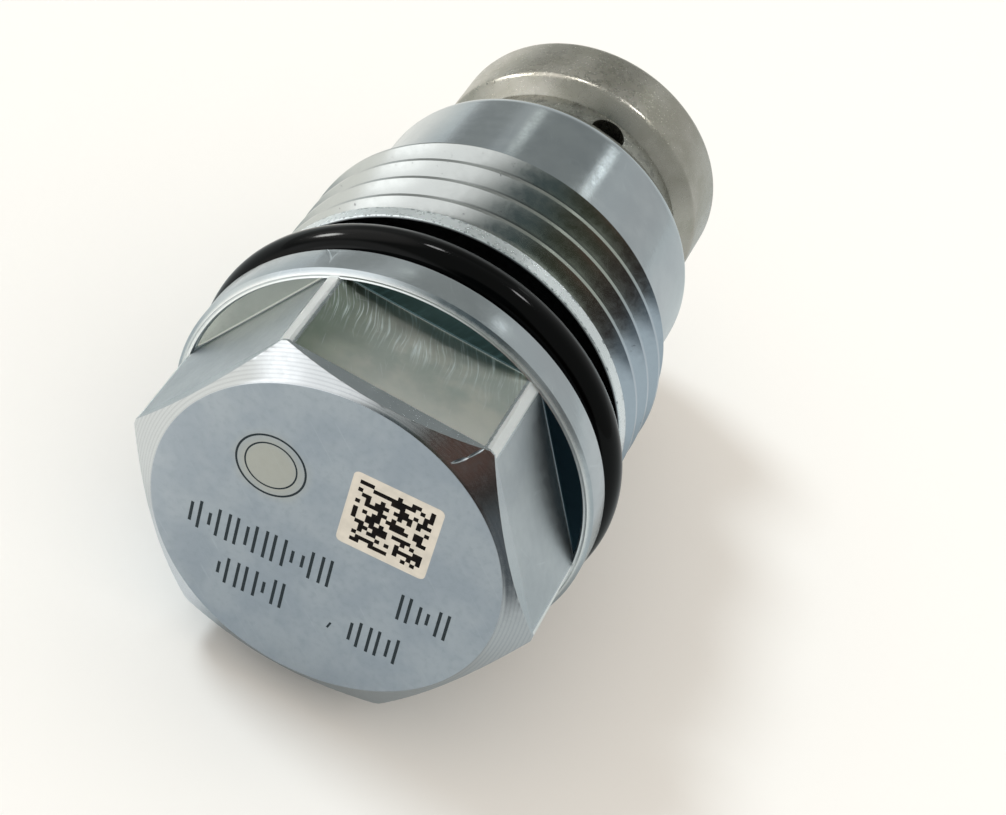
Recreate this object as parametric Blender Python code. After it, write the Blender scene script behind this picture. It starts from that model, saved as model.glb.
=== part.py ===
"""Screw-in pressure-limiting cartridge valve.

Metres, +Z up. The valve lies along +Y: the centre of the hexagon's end face is the origin and
the nose points to +Y. Two flats of the hexagon face +Z and -Z.
"""

import math

import bmesh
import bpy
from mathutils import Matrix, Vector

# ---- hexagon head and collar ----
HEX_FLATS = 0.0220            # across flats
HEX_LENGTH = 0.0078           # end face to the collar's front
HEX_FACE_MARGIN = 0.0004      # from the flats in to the round end face
HEX_CHAMFER_ANGLE = math.radians(30)
COLLAR_DIAMETER = 0.0260
COLLAR_THICKNESS = 0.0019
COLLAR_CHAMFER = 0.0003

# ---- O-ring and its groove ----
O_RING_INSIDE = 0.0212
O_RING_CORD = 0.00265
O_RING_SETBACK = 0.0006       # from the collar's seat to the ring
O_RING_GAP = 0.0001           # between the ring and the groove's floor
GROOVE_LENGTH = 0.0052

# ---- thread and shank ----
THREAD_DIAMETER = 0.0240
THREAD_PITCH = 0.0020
THREAD_LENGTH = 0.0091
THREAD_DEPTH_PER_PITCH = 0.6134
THREAD_CREST_PER_PITCH = 0.125
THREAD_FLANK_ANGLE = math.radians(30)
THREAD_END_CHAMFER = 0.0008
GROOVE_PAST = 0.00015         # how far the thread's cutter stands outside the crest
SHANK_LENGTH = 0.0087
RIM_CHAMFER_RADIAL = 0.0009
RIM_CHAMFER_LENGTH = 0.0015
BORE_DIAMETER = 0.0140
HEAD_FLOOR = 0.0050           # solid metal behind the end face

# ---- seat nose ----
INLET_DIAMETER = 0.0060
SEAT_OVERLAP = 0.0016         # the cone is this much larger than the inlet, on the radius
FLOW_GAP = 0.0010             # round the cone, in the chamber
NECK_WALL = 0.0024
SPIGOT_SHOULDER = 0.0009
SPIGOT_LENGTH = 0.0024
RIM_WALL = 0.00155            # of the shank, round the spigot
RIM_LIP = 0.0014              # rolled edge that holds the spigot
NECK_LENGTH = 0.0035          # that shows between the shank and the flange
FLANGE_STEP = 0.00104
FLANGE_BAND = 0.0009          # length of the flange's rear chamfer
FLANGE_LENGTH = 0.0043
TIP_FOOT_RADIUS = 0.0070
TIP_FACE_RADIUS = 0.0046
TIP_LENGTH = 0.0016
SEAT_DEPTH = 0.0064           # seat edge to the tip's face
SEAT_ANGLE = math.radians(45)
SEAT_LAND = 0.0006
DRAIN_HOLES = 4
DRAIN_DIAMETER = 0.0023
DRAIN_SETBACK = 0.0022        # hole centres past the shank's end
DRAIN_TURN = math.radians(9.5)

# ---- cone, damping piston and clip ----
STROKE = 0.0012
CONE_BODY_LENGTH = 0.0070
STEM_DIAMETER = 0.0024
PISTON_LENGTH = 0.0030
PISTON_SETBACK = 0.0022       # piston behind the seat edge
CLIP_THICKNESS = 0.0004
CLIP_WIDTH = 0.0008
STEM_END = 0.0003             # stem beyond the clip
PILOT_DIAMETER = 0.0036       # pin on the cone's back
PILOT_LENGTH = 0.0026

# ---- spring, its plates and the shims ----
WIRE_DIAMETER = 0.0022
ACTIVE_TURNS = 4.5
DEAD_TURNS = 1.0              # closed turns at each end
PLATE_THICKNESS = 0.0014
STOP_THICKNESS = 0.0018
STOP_BOSS_LENGTH = 0.0020
ROD_DIAMETER = 0.0050
SHIM_THICKNESSES = (0.0005, 0.0003, 0.0002)
SHIM_HOLE_DIAMETER = 0.0050

# ---- clearances ----
SLIDE_GAP = 0.00005           # running fit, on the radius
REST_GAP = 0.00005            # between faces that rest on each other
SPRING_GAP = 0.0004           # between the spring and the bore
PLATE_GAP = 0.0002            # between plates or shims and the bore

# ---- fineness of the round surfaces ----
TURN_STEPS = 48
CORD_STEPS = 14
HOLE_STEPS = 16
COIL_STEPS = 20

# ---- places along the axis ----
collar_front = HEX_LENGTH
collar_seat = collar_front + COLLAR_THICKNESS
thread_start = collar_seat + GROOVE_LENGTH
thread_end = thread_start + THREAD_LENGTH
shank_end = thread_end + SHANK_LENGTH
neck_end = shank_end + NECK_LENGTH
tip_foot = neck_end + FLANGE_BAND + FLANGE_LENGTH
tip_face = tip_foot + TIP_LENGTH
seat_edge = tip_face - SEAT_DEPTH
spigot_rear = shank_end - RIM_LIP - REST_GAP
spigot_front = spigot_rear - SPIGOT_LENGTH
counterbore_floor = spigot_front - REST_GAP
drain_centre = shank_end + DRAIN_SETBACK

# ---- radii ----
thread_crest = THREAD_DIAMETER / 2
thread_root = thread_crest - THREAD_DEPTH_PER_PITCH * THREAD_PITCH
groove_floor = O_RING_INSIDE / 2 - O_RING_GAP
bore = BORE_DIAMETER / 2
inlet = INLET_DIAMETER / 2
cone_body = inlet + SEAT_OVERLAP
chamber = cone_body + FLOW_GAP
neck = chamber + NECK_WALL
flange = neck + FLANGE_STEP
spigot = neck + SPIGOT_SHOULDER
shank = spigot + SLIDE_GAP + RIM_WALL


def clear_scene():
    for item in list(bpy.data.objects):
        bpy.data.objects.remove(item, do_unlink=True)


def finish(name, colour, roughness, metallic):
    material = bpy.data.materials.new(name)
    material.use_nodes = True
    shader = material.node_tree.nodes["Principled BSDF"]
    shader.inputs["Base Color"].default_value = (*colour, 1.0)
    shader.inputs["Roughness"].default_value = roughness
    shader.inputs["Metallic"].default_value = metallic
    return material


def add_object(name, data, material=None, station=0.0, parent=None):
    item = bpy.data.objects.new(name, data)
    bpy.context.scene.collection.objects.link(item)
    item.location = (0.0, station, 0.0)
    if parent is not None:
        item.parent = parent
        item.matrix_parent_inverse = Matrix.Translation(-parent.location)
    if material is not None:
        data.materials.append(material)
    return item


def mesh_from(name, shape):
    bmesh.ops.recalc_face_normals(shape, faces=shape.faces)
    mesh = bpy.data.meshes.new(name)
    shape.to_mesh(mesh)
    shape.free()
    mesh.shade_smooth()
    mesh.set_sharp_from_angle(angle=math.radians(25))
    return mesh


def turned_mesh(name, outline, closed):
    """Turns an outline of (along, radius) points about the Y axis."""
    shape = bmesh.new()
    points = [shape.verts.new((radius, along, 0.0)) for along, radius in outline]
    pairs = list(zip(points, points[1:]))
    if closed:
        pairs.append((points[-1], points[0]))
    edges = [shape.edges.new(pair) for pair in pairs]
    bmesh.ops.spin(shape, geom=points + edges, cent=(0, 0, 0), axis=(0, 1, 0),
                   angle=math.tau, steps=TURN_STEPS, use_merge=True)
    bmesh.ops.remove_doubles(shape, verts=shape.verts, dist=1e-7)
    return mesh_from(name, shape)


def solid_turning(name, outline, **placing):
    """A turned piece with metal on the axis: the outline starts and ends at radius 0."""
    ends = [(outline[0][0], 0.0)] + list(outline) + [(outline[-1][0], 0.0)]
    return add_object(name, turned_mesh(name, ends, closed=False), **placing)


def ring_turning(name, outline, **placing):
    """A turned piece with a hole through it: the outline is a closed loop off the axis."""
    return add_object(name, turned_mesh(name, outline, closed=True), **placing)


def as_cutter(item):
    item.hide_render = True
    item.display_type = "WIRE"
    return item


def combine(item, operation, other):
    modifier = item.modifiers.new(operation.lower() + "_" + other.name, "BOOLEAN")
    modifier.operation = operation
    modifier.solver = "EXACT"
    modifier.object = as_cutter(other)


def hexagon_head():
    """Hexagon bar with its end chamfered by a 30 degree cone; it runs into the collar."""
    corner = HEX_FLATS / 2 / math.cos(math.radians(30))
    buried_end = collar_front + COLLAR_THICKNESS / 2
    shape = bmesh.new()
    ring = []
    for index in range(6):
        angle = math.radians(60) * index
        ring.append(shape.verts.new((corner * math.cos(angle), 0.0, corner * math.sin(angle))))
    face = shape.faces.new(ring)
    pushed = bmesh.ops.extrude_face_region(shape, geom=[face])
    moved = [v for v in pushed["geom"] if isinstance(v, bmesh.types.BMVert)]
    bmesh.ops.translate(shape, verts=moved, vec=(0.0, buried_end, 0.0))
    head = add_object("hexagon_bar", mesh_from("hexagon_bar", shape))
    face_radius = HEX_FLATS / 2 - HEX_FACE_MARGIN
    wide = corner * 1.1
    rise = (wide - face_radius) * math.tan(HEX_CHAMFER_ANGLE)
    past = 0.001
    cone = solid_turning("chamfer_cone", [
        (0.0, face_radius),
        (rise, wide),
        (buried_end + past, wide),
    ])
    combine(head, "INTERSECT", cone)
    return head


def thread_groove():
    """Helical cutter for a right-hand 60 degree thread; it runs out past both ends."""
    outside = thread_crest + GROOVE_PAST
    half_crest = (1 - THREAD_CREST_PER_PITCH) * THREAD_PITCH / 2
    half_root = half_crest - (thread_crest - thread_root) * math.tan(THREAD_FLANK_ANGLE)
    half_outside = half_crest + GROOVE_PAST * math.tan(THREAD_FLANK_ANGLE)
    section = [(-half_root, thread_root), (-half_outside, outside),
               (half_outside, outside), (half_root, thread_root)]
    first = thread_start - THREAD_PITCH
    turns = THREAD_LENGTH / THREAD_PITCH + 2.0
    shape = bmesh.new()
    loops = []
    for step in range(round(turns * TURN_STEPS) + 1):
        angle = math.tau * (step + 0.5) / TURN_STEPS
        along = first + THREAD_PITCH * step / TURN_STEPS
        loops.append([shape.verts.new((radius * math.sin(angle), along + offset,
                                       radius * math.cos(angle))) for offset, radius in section])
    for near, far in zip(loops, loops[1:]):
        for index in range(len(section)):
            after = (index + 1) % len(section)
            shape.faces.new((near[index], near[after], far[after], far[index]))
    shape.faces.new(loops[0])
    shape.faces.new(reversed(loops[-1]))
    return add_object("thread_groove", mesh_from("thread_groove", shape))


def valve_body(material):
    """Hexagon, collar, groove, thread and shank in one piece, bored blind from the nose."""
    collar = COLLAR_DIAMETER / 2
    body = solid_turning("valve_body", [
        (collar_front, collar - COLLAR_CHAMFER),
        (collar_front + COLLAR_CHAMFER, collar),
        (collar_seat, collar),
        (collar_seat, groove_floor),
        (thread_start, groove_floor),
        (thread_start, thread_crest),
        (thread_end - THREAD_END_CHAMFER, thread_crest),
        (thread_end, thread_crest - THREAD_END_CHAMFER),
        (thread_end, shank),
        (shank_end - RIM_CHAMFER_LENGTH, shank),
        (shank_end, shank - RIM_CHAMFER_RADIAL),
    ], material=material)
    past = 0.001
    hollow = solid_turning("body_hollow", [
        (HEAD_FLOOR, bore),
        (counterbore_floor, bore),
        (counterbore_floor, spigot + SLIDE_GAP),
        (shank_end - RIM_LIP, spigot + SLIDE_GAP),
        (shank_end - RIM_LIP, neck + SLIDE_GAP),
        (shank_end + past, neck + SLIDE_GAP),
    ])
    combine(body, "UNION", hexagon_head())
    combine(body, "DIFFERENCE", thread_groove())
    combine(body, "DIFFERENCE", hollow)
    return body


def o_ring(material):
    cord = O_RING_CORD / 2
    centre = collar_seat + O_RING_SETBACK + cord
    outline = []
    for step in range(CORD_STEPS):
        angle = math.tau * step / CORD_STEPS
        outline.append((cord * math.cos(angle), O_RING_INSIDE / 2 + cord + cord * math.sin(angle)))
    return ring_turning("o_ring", outline, material=material, station=centre)


def seat_nose(material):
    """Seat piece: spigot in the shank, drilled neck, flange and sealing tip."""
    seat_mouth = inlet + SEAT_LAND
    nose = ring_turning("seat_nose", [
        (spigot_front, spigot),
        (spigot_rear, spigot),
        (spigot_rear, neck),
        (neck_end, neck),
        (neck_end + FLANGE_BAND, flange),
        (tip_foot, flange),
        (tip_foot, TIP_FOOT_RADIUS),
        (tip_face, TIP_FACE_RADIUS),
        (tip_face, inlet),
        (seat_edge + SEAT_LAND / math.tan(SEAT_ANGLE), inlet),
        (seat_edge, seat_mouth),
        (seat_edge, chamber),
        (spigot_front, chamber),
    ], material=material)
    combine(nose, "DIFFERENCE", drain_drills())
    return nose


def drain_drills():
    """Radial drills through the neck's wall."""
    start = chamber - FLOW_GAP / 2
    length = neck + FLOW_GAP / 2 - start
    shape = bmesh.new()
    for index in range(DRAIN_HOLES):
        turn = DRAIN_TURN + math.tau * index / DRAIN_HOLES
        place = (Matrix.Rotation(turn, 4, "Y")
                 @ Matrix.Translation((0.0, drain_centre, start + length / 2)))
        bmesh.ops.create_cone(shape, cap_ends=True, segments=HOLE_STEPS, depth=length,
                              radius1=DRAIN_DIAMETER / 2, radius2=DRAIN_DIAMETER / 2, matrix=place)
    return add_object("drain_drills", mesh_from("drain_drills", shape))


def cone_group():
    """Empty on the slide axis at the seat; everything that lifts with the cone hangs on it."""
    group = bpy.data.objects.new("cone_slide", None)
    bpy.context.scene.collection.objects.link(group)
    group.location = (0.0, seat_edge, 0.0)
    return group


def clip_front():
    """Place of the clip, counted from the seat edge."""
    return PISTON_SETBACK + PISTON_LENGTH + REST_GAP


def valve_cone(material, group):
    """Closing cone with a pilot pin at its back and the piston's stem in front."""
    stem = STEM_DIAMETER / 2
    seat_mouth = inlet + SEAT_LAND
    nose_radius = inlet - SEAT_LAND
    lift = REST_GAP / math.sin(SEAT_ANGLE)
    full = -(cone_body - seat_mouth) / math.tan(SEAT_ANGLE) - lift
    tip = (seat_mouth - nose_radius) / math.tan(SEAT_ANGLE) - lift
    back = full - CONE_BODY_LENGTH
    return solid_turning("valve_cone", [
        (back - PILOT_LENGTH, PILOT_DIAMETER / 2),
        (back, PILOT_DIAMETER / 2),
        (back, cone_body),
        (full, cone_body),
        (tip, nose_radius),
        (tip, stem),
        (clip_front() + CLIP_THICKNESS + STEM_END, stem),
    ], material=material, station=seat_edge, parent=group), seat_edge + back


def damping_piston(material, group):
    hole = STEM_DIAMETER / 2 + SLIDE_GAP
    outside = inlet - SLIDE_GAP
    return ring_turning("damping_piston", [
        (0.0, hole),
        (0.0, outside),
        (PISTON_LENGTH, outside),
        (PISTON_LENGTH, hole),
    ], material=material, station=seat_edge + PISTON_SETBACK, parent=group)


def piston_clip(material, group):
    hole = STEM_DIAMETER / 2 + SLIDE_GAP
    return ring_turning("piston_clip", [
        (0.0, hole),
        (0.0, hole + CLIP_WIDTH),
        (CLIP_THICKNESS, hole + CLIP_WIDTH),
        (CLIP_THICKNESS, hole),
    ], material=material, station=seat_edge + clip_front(), parent=group)


def spring_plate(material, group, cone_back):
    """Disc on the cone's back that carries the spring. Returns its piece and its spring face."""
    front = cone_back - REST_GAP - PLATE_THICKNESS
    hole = PILOT_DIAMETER / 2 + SLIDE_GAP
    plate = ring_turning("spring_plate", [
        (0.0, hole),
        (0.0, bore - PLATE_GAP),
        (PLATE_THICKNESS, bore - PLATE_GAP),
        (PLATE_THICKNESS, hole),
    ], material=material, station=front, parent=group)
    return plate, front


def setting_shims(material):
    """Shims on the bore's floor that set the opening pressure. Returns where the stack ends."""
    along = HEAD_FLOOR + REST_GAP
    for index, thickness in enumerate(SHIM_THICKNESSES, start=1):
        ring_turning(f"setting_shim_{index}", [
            (0.0, SHIM_HOLE_DIAMETER / 2),
            (0.0, bore - PLATE_GAP),
            (thickness, bore - PLATE_GAP),
            (thickness, SHIM_HOLE_DIAMETER / 2),
        ], material=material, station=along)
        along += thickness + REST_GAP
    return along


def coil_radius():
    """Mean radius of the spring's coils."""
    return bore - SPRING_GAP - WIRE_DIAMETER / 2


def spring_stop(material, along):
    """Fixed spring seat with a boss inside the coils and a hole for the stop rod."""
    boss = coil_radius() - WIRE_DIAMETER / 2 - PLATE_GAP
    hole = ROD_DIAMETER / 2 + SLIDE_GAP
    return ring_turning("spring_stop", [
        (0.0, hole),
        (0.0, bore - PLATE_GAP),
        (STOP_THICKNESS, bore - PLATE_GAP),
        (STOP_THICKNESS, boss),
        (STOP_THICKNESS + STOP_BOSS_LENGTH, boss),
        (STOP_THICKNESS + STOP_BOSS_LENGTH, hole),
    ], material=material, station=along)


def stop_rod(material, along, cone_back):
    """Rod inside the spring that ends the cone's lift after the stroke."""
    end = cone_back - PILOT_LENGTH - STROKE - REST_GAP
    return solid_turning("stop_rod", [
        (0.0, ROD_DIAMETER / 2),
        (end - along, ROD_DIAMETER / 2),
    ], material=material, station=along)


def main_spring(material, front, back):
    """Pressure spring between two faces, with closed turns at both ends."""
    radius = coil_radius()
    length = back - front - 2 * REST_GAP - WIRE_DIAMETER
    closed = WIRE_DIAMETER + REST_GAP
    active_pitch = (length - 2 * DEAD_TURNS * closed) / ACTIVE_TURNS
    turns = ACTIVE_TURNS + 2 * DEAD_TURNS
    steps = round(turns * COIL_STEPS)
    curve = bpy.data.curves.new("main_spring", "CURVE")
    curve.dimensions = "3D"
    curve.bevel_depth = WIRE_DIAMETER / 2
    curve.bevel_resolution = 2
    curve.use_fill_caps = True
    spline = curve.splines.new("POLY")
    spline.points.add(steps)
    start = front + REST_GAP + WIRE_DIAMETER / 2
    for step, point in enumerate(spline.points):
        turn = turns * step / steps
        ends = min(turn, DEAD_TURNS) + max(0.0, turn - DEAD_TURNS - ACTIVE_TURNS)
        active = turn - ends
        angle = math.tau * turn
        rise = ends * closed + active * active_pitch
        point.co = (radius * math.sin(angle), rise, radius * math.cos(angle), 1.0)
    return add_object("main_spring", curve, material=material, station=start)


def build():
    clear_scene()
    zinc = finish("zinc_plated_steel", (0.62, 0.66, 0.70), 0.35, 1.0)
    rubber = finish("black_rubber", (0.012, 0.012, 0.013), 0.30, 0.0)
    bare = finish("bare_steel", (0.50, 0.48, 0.44), 0.38, 1.0)
    ground = finish("ground_steel", (0.66, 0.66, 0.65), 0.18, 1.0)
    spring_wire = finish("spring_steel", (0.30, 0.29, 0.28), 0.35, 1.0)
    shim_steel = finish("shim_steel", (0.58, 0.57, 0.55), 0.28, 1.0)

    valve_body(zinc)
    o_ring(rubber)
    seat_nose(bare)
    group = cone_group()
    _, cone_back = valve_cone(ground, group)
    damping_piston(ground, group)
    piston_clip(spring_wire, group)
    _, plate_front = spring_plate(bare, group, cone_back)
    stack_end = setting_shims(shim_steel)
    spring_stop(bare, stack_end)
    stop_rod(ground, stack_end, cone_back)
    main_spring(spring_wire, stack_end + STOP_THICKNESS, plate_front)


build()
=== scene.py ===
"""Looks for a screw-in cartridge valve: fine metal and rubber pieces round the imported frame.

Metres. The valve lies along +Y, its hexagon's end face at the origin, its nose towards +Y, +Z up.
"""

import math
import random

import bmesh
import bpy
from mathutils import Matrix, Vector


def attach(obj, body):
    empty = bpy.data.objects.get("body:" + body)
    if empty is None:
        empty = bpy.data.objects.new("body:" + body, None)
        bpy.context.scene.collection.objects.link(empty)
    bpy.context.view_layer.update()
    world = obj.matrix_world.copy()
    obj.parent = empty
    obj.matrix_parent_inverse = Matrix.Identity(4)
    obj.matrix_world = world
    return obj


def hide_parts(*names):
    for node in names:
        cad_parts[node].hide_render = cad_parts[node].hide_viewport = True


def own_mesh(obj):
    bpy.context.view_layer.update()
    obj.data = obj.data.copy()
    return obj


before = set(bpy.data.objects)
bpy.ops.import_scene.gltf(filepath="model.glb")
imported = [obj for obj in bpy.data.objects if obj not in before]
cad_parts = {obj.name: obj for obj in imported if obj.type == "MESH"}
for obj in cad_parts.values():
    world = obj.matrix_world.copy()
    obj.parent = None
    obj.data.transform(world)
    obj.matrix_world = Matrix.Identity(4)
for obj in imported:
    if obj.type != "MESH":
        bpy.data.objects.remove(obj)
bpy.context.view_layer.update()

MM = 0.001

# ---- head ----
HEX_FLATS = 22.0 * MM
HEX_CORNER_FRONT = 12.60 * MM      # turned corners, at the chamfer and at the collar
HEX_CORNER_BACK = 12.545 * MM
HEX_FACE_RADIUS = 10.6 * MM
CHAMFER_ANGLE = math.radians(30)
CHAMFER_FEED = 0.20 * MM
CHAMFER_RIDGE = 0.010 * MM
CHAMFER_LAND = 0.02 * MM           # straight edge left before the chamfer
FLAT_FILLET = 0.15 * MM
HIDDEN_PLACE = 9.0 * MM            # ends of shapes that stay hidden inside the body
HIDDEN_RADIUS = 9.0 * MM
CORE_START = 3.0 * MM

# ---- collar ----
COLLAR_RADIUS = 13.0 * MM
CRESCENT_PLACE = 7.8 * MM
LIP_FOOT = 12.32 * MM
LIP_STEP = 12.42 * MM
LIP_PLACE = 7.52 * MM
LIP_CHAMFER = 0.26 * MM
COLLAR_SEAT = 9.7 * MM
COLLAR_ROUNDING = 0.12 * MM

# ---- groove, thread, shank ----
GROOVE_FLOOR = 10.5 * MM
GROOVE_FILLET = 0.35 * MM
RING_INSIDE = 10.6 * MM
RING_CORD = 2.65 * MM
RING_CENTRE = 11.625 * MM
THREAD_START = 14.9 * MM
THREAD_END = 24.0 * MM
THREAD_RADIUS = 12.0 * MM
THREAD_PITCH = 2.0 * MM
THREAD_DEPTH = 1.2 * MM
THREAD_CREST = 0.26 * MM
THREAD_ROOT = 0.34 * MM
THREAD_ROOT_SOFTENING = 0.12 * MM
THREAD_START_CHAMFER = 0.12 * MM
THREAD_RUNOUT = 0.8 * MM
THREAD_RUNOUT_DEPTH = 0.9 * MM
THREAD_TURNS = 7
LAND_END = 15.84 * MM
SHANK_RADIUS = 10.5 * MM
SHANK_END = 32.7 * MM
RIM_START = 31.2 * MM
RIM_RADIUS = 9.6 * MM
RIM_ROUNDING = 0.35 * MM
BORE_RADIUS = 7.0 * MM
BORE_FLOOR = 5.0 * MM
COUNTERBORE = 28.8 * MM
SPIGOT_RADIUS = 8.9 * MM
LIP_BACK = 31.3 * MM

# ---- nose ----
NECK_RADIUS = 8.0 * MM
NECK_END = 36.2 * MM
FLANGE_RADIUS = 9.04 * MM
FLANGE_START = 37.1 * MM
FLANGE_END = 41.4 * MM
FLANGE_BACK_ROUNDING = 0.25 * MM
FLANGE_FRONT_ROUNDING = 0.45 * MM
TIP_FOOT = 7.0 * MM
TIP_FACE = 4.6 * MM
TIP_PLACE = 43.0 * MM
TIP_ROUNDING = 0.15 * MM
INLET_RADIUS = 3.0 * MM
CHAMBER_RADIUS = 5.6 * MM
SEAT_PLACE = 36.6 * MM
SEAT_LAND = 0.6 * MM
DRAIN_PLACE = 34.9 * MM
DRAIN_RADIUS = 1.15 * MM
DRAIN_TURN = math.radians(9.5)
DRAIN_HOLES = 4

# ---- inner pieces ----
GAP = 0.05 * MM
CONE_ROUNDING = 0.15 * MM
STOP_ROUNDING = 0.25 * MM
CONE_RADIUS = 4.6 * MM
CONE_BACK = 28.529 * MM
CONE_EDGE = 35.529 * MM
CONE_TIP = 37.729 * MM
CONE_TIP_RADIUS = 2.4 * MM
STEM_RADIUS = 1.2 * MM
STEM_END = 42.55 * MM
PILOT_RADIUS = 1.8 * MM
PILOT_END = 25.929 * MM
PISTON_FRONT = 38.8 * MM
PISTON_END = 41.8 * MM
CLIP_PLACE = 41.85 * MM
CLIP_END = 42.25 * MM
PLATE_FRONT = 27.079 * MM
PLATE_BACK = 28.479 * MM
PLATE_RADIUS = 6.8 * MM
CLIP_WIDTH = 0.8 * MM
SHIM_HOLE = 2.5 * MM
STOP_FRONT = 6.2 * MM
STOP_FACE = 8.0 * MM
STOP_BOSS = 10.0 * MM
STOP_BOSS_RADIUS = 4.2 * MM
ROD_RADIUS = 2.5 * MM
ROD_END = 24.679 * MM
SHIM_PLACES = (5.05 * MM, 5.6 * MM, 5.95 * MM)
SHIM_THICKNESSES = (0.5 * MM, 0.3 * MM, 0.2 * MM)
WIRE_RADIUS = 1.1 * MM
COIL_RADIUS = 5.5 * MM
SPRING_START = 8.05 * MM
SPRING_END = 27.03 * MM
ACTIVE_TURNS = 4.5

SEGMENTS = 192
SMALL_SEGMENTS = 96
WELD = 1e-7
SLIVER = 0.003 * MM


# ---------------------------------------------------------------- modelling helpers

def deselect():
    bpy.ops.object.select_all(action="DESELECT")


def pick(piece):
    deselect()
    piece.select_set(True)
    bpy.context.view_layer.objects.active = piece


def edit(piece):
    pick(piece)
    bpy.ops.object.mode_set(mode="EDIT")


def leave_edit():
    bpy.ops.object.mode_set(mode="OBJECT")


def settle(piece):
    """Puts a piece's place, turn and size into its mesh."""
    pick(piece)
    bpy.ops.object.transform_apply(location=True, rotation=True, scale=True)


def face_outwards(piece):
    edit(piece)
    bpy.ops.mesh.select_all(action="SELECT")
    bpy.ops.mesh.remove_doubles(threshold=WELD)
    bpy.ops.mesh.normals_make_consistent(inside=False)
    leave_edit()


def turn(name, outline, segments=SEGMENTS):
    """Turns a piece about Y: a ring is extruded and scaled through (along, radius) points."""
    deselect()
    along, radius = outline[0]
    bpy.ops.mesh.primitive_circle_add(vertices=segments, radius=radius, location=(0, along, 0),
                                      rotation=(math.pi / 2, 0, 0))
    piece = bpy.context.object
    piece.name = name
    settle(piece)
    edit(piece)
    bpy.ops.mesh.select_all(action="SELECT")
    closed = outline[0] == outline[-1]
    if not closed:
        bpy.ops.mesh.edge_face_add()
    for (along, radius), (next_along, next_radius) in zip(outline, outline[1:]):
        bpy.ops.mesh.extrude_region_move(
            TRANSFORM_OT_translate={"value": (0, next_along - along, 0)})
        scale = next_radius / radius
        bpy.ops.transform.resize(value=(scale, 1, scale), center_override=(0, 0, 0))
    leave_edit()
    face_outwards(piece)
    return piece


def round_rings(piece, rings, width, steps=3):
    """Rounds the turned edges that lie at the given (along, radius) places."""
    edit(piece)
    bpy.ops.mesh.select_all(action="DESELECT")
    shape = bmesh.from_edit_mesh(piece.data)
    near = 0.004 * MM
    for edge in shape.edges:
        for along, radius in rings:
            if all(abs(v.co.y - along) < near and
                   abs(math.hypot(v.co.x, v.co.z) - radius) < near for v in edge.verts):
                edge.select = True
    bmesh.update_edit_mesh(piece.data)
    bpy.ops.mesh.bevel(offset=width, segments=steps, affect="EDGES")
    leave_edit()


def combine(piece, operation, other):
    """Boolean of two pieces; the other piece is used up."""
    deselect()
    bpy.context.view_layer.objects.active = piece
    modifier = piece.modifiers.new(operation, "BOOLEAN")
    modifier.operation = operation
    modifier.solver = "EXACT"
    modifier.object = other
    bpy.ops.object.modifier_apply(modifier=modifier.name)
    bpy.data.objects.remove(other, do_unlink=True)


def shade(piece, angle=28):
    pick(piece)
    bpy.ops.object.shade_smooth_by_angle(angle=math.radians(angle))


def finish_piece(piece, material, body, nodes):
    """Gives a piece its material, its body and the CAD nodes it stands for."""
    piece.data.materials.clear()
    piece.data.materials.append(material)
    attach(piece, body)
    if nodes:
        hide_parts(*nodes)


# ---------------------------------------------------------------- valve body

def chamfer_envelope():
    """Turned envelope that chamfers the hexagon, with the tool's feed ridges on the chamfer."""
    outline = [(0.0, HEX_FACE_RADIUS)]
    radius = HEX_FACE_RADIUS
    slope = math.tan(CHAMFER_ANGLE)
    while radius + CHAMFER_FEED < HEX_CORNER_FRONT:
        for share, lift in ((0.5, CHAMFER_RIDGE), (1.0, 0.0)):
            place = radius + CHAMFER_FEED * share
            outline.append(((place - HEX_FACE_RADIUS) * slope + CHAMFER_LAND - lift, place))
        radius += CHAMFER_FEED
    outline.append(((HEX_CORNER_FRONT - HEX_FACE_RADIUS) * slope + CHAMFER_LAND, HEX_CORNER_FRONT))
    outline.append((LIP_PLACE, HEX_CORNER_BACK))
    outline.append((HIDDEN_PLACE, HEX_CORNER_BACK))
    return turn("chamfer_envelope", outline)


def hexagon():
    """Hexagon bar whose flats run into the collar with a small fillet."""
    corner = HEX_FLATS / 2 / math.cos(math.radians(30))
    deselect()
    bpy.ops.mesh.primitive_circle_add(vertices=6, radius=corner, fill_type="NGON",
                                      rotation=(math.pi / 2, math.pi / 6, 0))
    piece = bpy.context.object
    piece.name = "hexagon"
    settle(piece)
    edit(piece)
    bpy.ops.mesh.select_all(action="SELECT")
    bpy.ops.mesh.extrude_region_move(
        TRANSFORM_OT_translate={"value": (0, CRESCENT_PLACE - FLAT_FILLET, 0)})
    steps = 5
    apothem = HEX_FLATS / 2
    before = Vector((0.0, 0.0))
    for step in range(1, steps + 1):
        angle = math.pi / 2 * step / steps
        after = Vector((math.sin(angle), 1 - math.cos(angle))) * FLAT_FILLET
        bpy.ops.mesh.extrude_region_move(
            TRANSFORM_OT_translate={"value": (0, after.x - before.x, 0)})
        scale = (apothem + after.y) / (apothem + before.y)
        bpy.ops.transform.resize(value=(scale, 1, scale), center_override=(0, 0, 0))
        before = after
    into_collar = 0.7 * MM
    bpy.ops.mesh.extrude_region_move(TRANSFORM_OT_translate={"value": (0, into_collar, 0)})
    leave_edit()
    face_outwards(piece)
    combine(piece, "INTERSECT", chamfer_envelope())
    return piece


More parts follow.
